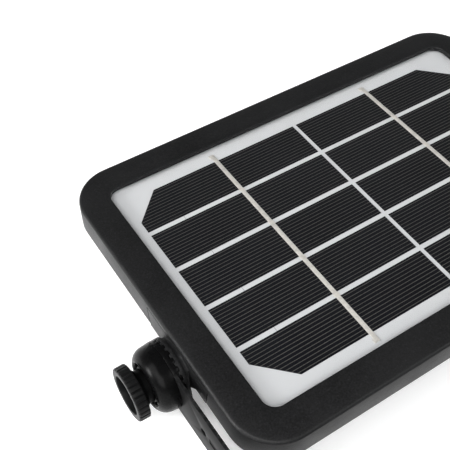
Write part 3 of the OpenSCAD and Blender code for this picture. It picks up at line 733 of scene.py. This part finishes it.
class LAMP_OT_light_window(bpy.types.Operator):
    """Finishes the light side: trim frame, clear lens, reflector cups, board and diodes"""
    bl_idname = "lamp.light_window"
    bl_label = "Light Window"

    def execute(self, context):
        bm = node_copy("lens_frame")
        soften(bm, 0.45 * MM, segments=3)
        make_piece(bm, "lens_trim", "housing",
                   satin_plastic("trim_gloss", (0.01, 0.01, 0.011), 0.18), ["lens_frame"])
        bm = node_copy("lens")
        soften(bm, 0.3 * MM)
        make_piece(bm, "clear_lens", "housing",
                   clear_sheet("clear_lens", (0.10, 0.11, 0.12), 0.10, 0.03), ["lens"])
        paint_nodes(glossy_paint("reflector_white", (0.82, 0.83, 0.84), 0.18), "reflector")
        paint_nodes(glossy_paint("board_white", (0.80, 0.80, 0.77), 0.4), "led_board")
        self.diodes()
        return {"FINISHED"}

    def diodes(self):
        """White packages with a domed yellow phosphor over each die"""
        lo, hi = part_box("leds")
        side = 2.8 * MM
        columns = 11
        rows = 6
        phosphor = bmesh.new()
        packages = bmesh.new()
        for i in range(columns):
            for j in range(rows):
                x = lo.x + side / 2 + i * (hi.x - lo.x - side) / (columns - 1)
                y = lo.y + side / 2 + j * (hi.y - lo.y - side) / (rows - 1)
                join_into(packages, box_bm((x - side / 2, y - side / 2, lo.z),
                                           (x + side / 2, y + side / 2, hi.z)))
                dome = Matrix.Translation((x, y, lo.z)) @ Matrix.Diagonal((1, 1, 0.12, 1))
                bmesh.ops.create_uvsphere(
                    phosphor, u_segments=16, v_segments=6, radius=1.05 * MM, matrix=dome)
        bmesh.ops.bevel(
            packages, geom=packages.edges[:], offset=0.12 * MM, offset_type="OFFSET", segments=1,
            profile=0.5, affect="EDGES", clamp_overlap=True, material=-1)
        make_piece(packages, "diode_packages", "housing",
                   glossy_paint("diode_white", (0.85, 0.85, 0.82), 0.3), ["leds"])
        make_piece(phosphor, "diode_phosphor", "housing",
                   glossy_paint("phosphor_yellow", (0.85, 0.62, 0.10), 0.35))


class LAMP_OT_inner_parts(bpy.types.Operator):
    """Finishes what the case holds: heat spreader, battery, control board and wires"""
    bl_idname = "lamp.inner_parts"
    bl_label = "Inner Parts"

    def execute(self, context):
        paint_nodes(brushed_metal("spreader_aluminium", (0.72, 0.73, 0.75), 0.35), "heat_spreader")
        paint_nodes(grained_plastic("holder_plastic", (0.02, 0.02, 0.022), 0.5, 0.4 * MM, 0.01 * MM),
                    "battery_holder", "tact_switch")
        paint_nodes(glossy_paint("cell_sleeve", (0.05, 0.32, 0.13), 0.22), "battery_cells")
        paint_nodes(brushed_metal("contact_nickel", (0.66, 0.62, 0.52), 0.3), "battery_contacts")
        paint_nodes(glossy_paint("solder_mask", (0.02, 0.16, 0.06), 0.3), "control_board")
        paint_nodes(grained_plastic("component_black", (0.02, 0.02, 0.02), 0.55, 0.2 * MM, 0.01 * MM),
                    "board_components")
        paint_nodes(soft_rubber("wire_red", (0.45, 0.03, 0.02)), "panel_wires", "battery_wires")
        paint_nodes(soft_rubber("wire_dark", (0.03, 0.03, 0.06)), "led_wires")
        paint_nodes(bpy.data.materials["zinc_plate"], "board_screws", "led_board_screws")
        return {"FINISHED"}


# ---- Pivots, knobs and bracket ----

def cap_profile(node):
    """Bun-shaped cap: a slight draft, a big outer shoulder and a lip rolled into the dish"""
    lo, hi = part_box(node)
    inner = min(abs(lo.x), abs(hi.x))
    outer = max(abs(lo.x), abs(hi.x))
    seam_radius = (hi.z - lo.z) / 2
    shoulder = 5 * MM
    shoulder_radius = seam_radius - 0.25 * MM - shoulder
    lip = 1 * MM
    dish_radius = 8 * MM
    crest = dish_radius + lip
    crest_angle = math.degrees(math.asin((crest - shoulder_radius) / shoulder))
    shoulder_start = outer - shoulder * math.cos(math.radians(crest_angle))
    dish = outer - lip - 1.95 * MM
    fillet = 0.5 * MM
    edge = 0.2 * MM
    bore = 3.35 * MM
    points = [(inner, bore)]
    points += arc((inner + edge, seam_radius - edge), edge, 180, 90, 3)
    points += arc((shoulder_start, shoulder_radius), shoulder, 90, crest_angle, 16)
    points += arc((outer - lip, crest), lip, 0, -90, 6)
    points += arc((dish + fillet, dish_radius - fillet), fillet, 90, 180, 3)
    points += [(dish, bore)]
    return points


def fluted_rings(side, rings, flutes, depth, samples=10):
    """Lofts rings of (distance out, radius, share of the flute depth) along the pivot axis"""
    bm = bmesh.new()
    count = flutes * samples
    first_out, first_radius, _ = rings[0]
    points = [(side * first_out, PIVOT.y + first_radius * math.cos(2 * math.pi * i / count),
               PIVOT.z + first_radius * math.sin(2 * math.pi * i / count)) for i in range(count)]
    geom = outline_edges(bm, points, closed=True)
    out = first_out
    for next_out, radius, share in rings[1:]:
        geom = bmesh.ops.spin(
            bm, geom=geom, cent=PIVOT, axis=(1, 0, 0), dvec=(side * (next_out - out), 0, 0),
            angle=0, steps=1, use_duplicate=False)["geom_last"]
        out = next_out
        for vert in (v for v in geom if isinstance(v, bmesh.types.BMVert)):
            spoke = Vector((0, vert.co.y - PIVOT.y, vert.co.z - PIVOT.z))
            turn = math.atan2(spoke.z, spoke.y) * flutes / (2 * math.pi)
            from_groove = abs(turn - round(turn)) * 2
            dip = max(0.0, 1 - (from_groove / 0.42) ** 2) * depth * share
            spoke.normalize()
            vert.co = Vector((vert.co.x, PIVOT.y, PIVOT.z)) + spoke * (radius - dip)
    loops = [e for e in bm.edges if e.is_boundary]
    bmesh.ops.holes_fill(bm, edges=loops, sides=0)
    outward(bm)
    return bm


def knob_rings(node):
    """Rings from the hub's inner face, over the fluted band, into the deep front bore"""
    lo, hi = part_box(node)
    hub = min(abs(lo.x), abs(hi.x))
    end = max(abs(lo.x), abs(hi.x))
    radius = (hi.z - lo.z) / 2
    band_width = 4.2 * MM
    band = end - band_width
    bore = 7.1 * MM
    floor = band + 1.3 * MM
    return [
        (hub, 3.2 * MM, 0), (hub, 6.2 * MM, 0), (hub + 0.3 * MM, 6.6 * MM, 0),
        (band - 0.1 * MM, 7.3 * MM, 0), (band, 7.6 * MM, 0), (band, radius - 0.75 * MM, 0),
        (band + 0.08 * MM, radius - 0.35 * MM, 0.5), (band + 0.3 * MM, radius, 1),
        (end - 0.75 * MM, radius, 1), (end - 0.35 * MM, radius - 0.12 * MM, 0.9),
        (end - 0.12 * MM, radius - 0.38 * MM, 0.45), (end, radius - 0.75 * MM, 0),
        (end, bore + 0.3 * MM, 0), (end - 0.1 * MM, bore + 0.08 * MM, 0), (end - 0.3 * MM, bore, 0),
        (floor + 0.3 * MM, bore, 0), (floor, bore - 0.3 * MM, 0), (floor, 4.6 * MM, 0),
        (floor + 0.25 * MM, 4.4 * MM, 0), (floor + 0.25 * MM, 3.1 * MM, 0), (floor, 3.0 * MM, 0)]


def washer_profile(node):
    """Stack of a flat washer, a spring washer and a spacer, thin grooves between them"""
    lo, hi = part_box(node)
    inner = min(abs(lo.x), abs(hi.x))
    outer = max(abs(lo.x), abs(hi.x))
    bore = 3.35 * MM
    points = [(inner, bore)]
    stack = [(0.9, 7.2), (0.8, 6.1), (0.8, 6.6), (0.8, 6.1)]
    start = inner
    for index, (thick, radius) in enumerate(stack):
        stop = outer if index == len(stack) - 1 else start + thick * MM
        radius = radius * MM
        edge = 0.16 * MM
        points += [(start, radius - 2 * edge), (start + edge, radius),
                   (stop - edge, radius), (stop, radius - 2 * edge)]
        start = stop
    points += [(outer, bore)]
    return points


class LAMP_OT_pivots(bpy.types.Operator):
    """Builds the domed caps, toothed rings and washer stacks of both pivots"""
    bl_idname = "lamp.pivots"
    bl_label = "Pivots"

    def execute(self, context):
        satin = bpy.data.materials["satin_nylon"]
        oxide = satin_plastic("black_oxide", (0.0035, 0.0035, 0.0036), 0.4, 0.06)
        for name, side in SIDES.items():
            cap = f"{name}_pivot_cap"
            make_piece(turned_on_pivot(side, cap_profile(cap)), f"{name}_domed_cap", "bracket",
                       satin, [cap])
            ring = f"{name}_tooth_ring"
            bm = node_copy(ring)
            soften(bm, 0.1 * MM)
            make_piece(bm, f"{name}_detent_ring", "bracket", satin, [ring])
            washer = f"{name}_knob_washer"
            make_piece(turned_on_pivot(side, washer_profile(washer), 72), f"{name}_washer_stack",
                       f"{name}_washer", oxide, [washer], sharp=30)
        paint_nodes(brushed_metal("insert_brass", (0.72, 0.50, 0.20), 0.3),
                    "left_pivot_insert", "right_pivot_insert")
        return {"FINISHED"}


class LAMP_OT_knobs(bpy.types.Operator):
    """Builds the two fluted hand knobs with their deep front bores"""
    bl_idname = "lamp.knobs"
    bl_label = "Knobs"

    def execute(self, context):
        s = sizes()
        for name, side in SIDES.items():
            knob = f"{name}_knob"
            bm = fluted_rings(side, knob_rings(knob), s.flute_count, s.flute_depth)
            make_piece(bm, f"{name}_fluted_knob", knob,
                       bpy.data.materials["knob_nylon"], [knob], sharp=28)
        paint_nodes(bpy.data.materials["zinc_plate"], "left_knob_bolt", "right_knob_bolt")
        return {"FINISHED"}


class LAMP_OT_bracket(bpy.types.Operator):
    """Finishes the U-shaped bracket in powder coat with softened sheared edges"""
    bl_idname = "lamp.bracket"
    bl_label = "Bracket"

    def execute(self, context):
        bm = node_copy("bracket")
        soften(bm, 0.16 * MM)
        make_piece(bm, "tilt_bracket", "bracket",
                   powder_coat("bracket_coat", colours().bracket), ["bracket"])
        return {"FINISHED"}


class LAMP_OT_wall_controls(bpy.types.Operator):
    """Finishes the button, port, flap, light pipe and vent in the back and front walls"""
    bl_idname = "lamp.wall_controls"
    bl_label = "Wall Controls"

    def execute(self, context):
        rubber = soft_rubber("button_rubber", (0.03, 0.03, 0.032))
        flap = soft_rubber("flap_rubber", (0.018, 0.018, 0.019))
        for node, name, body, slot, material, width in (
                ("power_button", "button_key", "power_button", "button_rubber", rubber, 0.35),
                ("usb_flap", "port_flap", "usb_flap", "seal_rubber", flap, 0.18),
                ("button_collar", "button_ring", "housing", "housing_plastic",
                 bpy.data.materials["satin_nylon"], 0.15),
                ("vent_plug", "vent_button", "housing", "housing_plastic",
                 bpy.data.materials["case_plastic"], 0.25)):
            bm = node_copy(node)
            soften(bm, width * MM, segments=3)
            make_piece(bm, name, body, material, [node])
        paint_nodes(bpy.data.materials["zinc_plate"], "usb_port")
        paint_nodes(glossy_paint("switch_ivory", (0.75, 0.72, 0.62), 0.4), "switch_plunger")
        paint_nodes(clear_sheet("indicator_clear", (0.75, 0.9, 1.0), 0.4, 0.1), "indicator_lens")
        return {"FINISHED"}


class LAMP_OT_fasteners(bpy.types.Operator):
    """Finishes the housing screws with softened heads and cross recesses"""
    bl_idname = "lamp.fasteners"
    bl_label = "Fasteners"

    def execute(self, context):
        bm = node_copy("housing_screws")
        soften(bm, 0.15 * MM)
        make_piece(bm, "case_screws", "housing",
                   bpy.data.materials["zinc_plate"], ["housing_screws"])
        return {"FINISHED"}


# ---- Stage ----

class LAMP_OT_shared_finishes(bpy.types.Operator):
    """Makes the finishes that more than one piece uses"""
    bl_idname = "lamp.shared_finishes"
    bl_label = "Shared Finishes"

    def execute(self, context):
        c = colours()
        grained_plastic("case_plastic", c.plastic, 0.42, 0.55 * MM, 0.06 * MM, 0.2)
        satin_plastic("satin_nylon", c.pivot, 0.27, 0.08)
        satin_plastic("knob_nylon", shifted(c.pivot, 1.8), 0.34, 0.09)
        brushed_metal("zinc_plate", (0.60, 0.61, 0.60), 0.28)
        return {"FINISHED"}


class LAMP_OT_stage(bpy.types.Operator):
    """Sets the pale floor, the soft studio lights and the camera"""
    bl_idname = "lamp.stage"
    bl_label = "Stage"

    def execute(self, context):
        self.floor()
        self.lights()
        self.world(context)
        self.camera(context)
        context.scene.view_settings.view_transform = "Standard"
        return {"FINISHED"}

    def floor(self):
        bm = bmesh.new()
        bmesh.ops.create_grid(bm, x_segments=1, y_segments=1, size=4)
        mesh = bpy.data.meshes.new("floor")
        bm.to_mesh(mesh)
        bm.free()
        floor = bpy.data.objects.new("floor", mesh)
        bpy.context.scene.collection.objects.link(floor)
        material, tree, shader = new_material("floor_paper")
        base = colours().floor
        weave = noise(tree, place(tree), 2 * MM, 3.0)
        tree.links.new(
            blend(tree, ranged(tree, weave, 0.3, 0.7, 0.0, 1.0), base, shifted(base, 0.985)),
            shader.inputs["Base Color"])
        shader.inputs["Roughness"].default_value = 0.9
        shader.inputs["Specular IOR Level"].default_value = 0.1
        shader.inputs["Emission Color"].default_value = (1, 1, 1, 1)
        shader.inputs["Emission Strength"].default_value = 0.28
        mesh.materials.append(material)

    def softbox(self, name, place_at, target, size, power):
        """A rectangular area light that faces the target"""
        data = bpy.data.lights.new(name, "AREA")
        data.shape = "RECTANGLE"
        data.size, data.size_y = size
        data.energy = power
        light = bpy.data.objects.new(name, data)
        light.location = place_at
        aim = Vector(target) - Vector(place_at)
        light.rotation_euler = aim.to_track_quat("-Z", "Y").to_euler()
        bpy.context.scene.collection.objects.link(light)

    def lights(self):
        middle = (0, 0, 0.02)
        self.softbox("key_softbox", (-1.0, -1.35, 1.6), middle, (1.6, 1.6), 33)
        self.softbox("top_softbox", (-1.15, 0.1, 1.7), middle, (1.5, 1.5), 25)
        self.softbox("right_softbox", (1.2, -1.3, 1.5), middle, (1.0, 1.0), 15)
        self.softbox("back_strip", (-1.12, 0.27, 0.46), middle, (0.3, 0.3), 10)

    def world(self, context):
        """A studio that is bright near the horizon and dim overhead"""
        world = bpy.data.worlds.new("studio")
        world.use_nodes = True
        tree = world.node_tree
        background = tree.nodes["Background"]
        direction = add(tree, "ShaderNodeTexCoord").outputs["Generated"]
        height = add(tree, "ShaderNodeSeparateXYZ", {"Vector": direction}).outputs["Z"]
        background.inputs["Color"].default_value = (0.97, 0.985, 1.0, 1)
        tree.links.new(ranged(tree, height, 0.0, 0.28, 0.9, 0.10), background.inputs["Strength"])
        context.scene.world = world

    def camera(self, context):
        view = context.scene.lamp_camera
        spot = Vector((BODY.x + view.spot_x, BODY.y + view.spot_y, GLAZING_HI.z))
        back = Vector((math.sin(view.turn) * math.cos(view.rise),
                       -math.cos(view.turn) * math.cos(view.rise), math.sin(view.rise)))
        data = bpy.data.cameras.new("main_camera")
        data.lens = view.lens
        data.sensor_width = 36
        data.clip_start = 0.01
        camera = bpy.data.objects.new("main_camera", data)
        camera.location = spot + back * view.distance
        camera.rotation_euler = (-back).to_track_quat("-Z", "Y").to_euler()
        bpy.context.scene.collection.objects.link(camera)
        context.scene.camera = camera


class LAMP_PT_panel(bpy.types.Panel):
    """Lists the lamp's sizes, colours, camera and building steps"""
    bl_idname = "LAMP_PT_panel"
    bl_label = "Flood Light"
    bl_space_type = "VIEW_3D"
    bl_region_type = "UI"
    bl_category = "Flood Light"

    def draw(self, context):
        scene = context.scene
        for title, group in (("Sizes", scene.lamp_sizes), ("Colours", scene.lamp_colours),
                             ("Camera", scene.lamp_camera)):
            section = self.layout.box()
            section.label(text=title)
            for key in group.__annotations__:
                section.prop(group, key)
        for operator in OPERATORS:
            self.layout.operator(operator.bl_idname)


OPERATORS = (
    LAMP_OT_shared_finishes,
    LAMP_OT_bezel,
    LAMP_OT_front_housing,
    LAMP_OT_solar_panel,
    LAMP_OT_light_window,
    LAMP_OT_pivots,
    LAMP_OT_knobs,
    LAMP_OT_bracket,
    LAMP_OT_wall_controls,
    LAMP_OT_fasteners,
    LAMP_OT_inner_parts,
    LAMP_OT_stage,
)
GROUPS = {"lamp_sizes": LampSizes, "lamp_colours": LampColours, "lamp_camera": LampCamera}
CLASSES = (*GROUPS.values(), *OPERATORS, LAMP_PT_panel)


def register():
    for cls in CLASSES:
        bpy.utils.register_class(cls)
    for key, group in GROUPS.items():
        setattr(bpy.types.Scene, key, PointerProperty(type=group))


def unregister():
    for key in GROUPS:
        delattr(bpy.types.Scene, key)
    for cls in reversed(CLASSES):
        bpy.utils.unregister_class(cls)


def main():
    register()
    for operator in OPERATORS:
        group, name = operator.bl_idname.split(".")
        getattr(getattr(bpy.ops, group), name)()


if __name__ == "__main__":
    main()
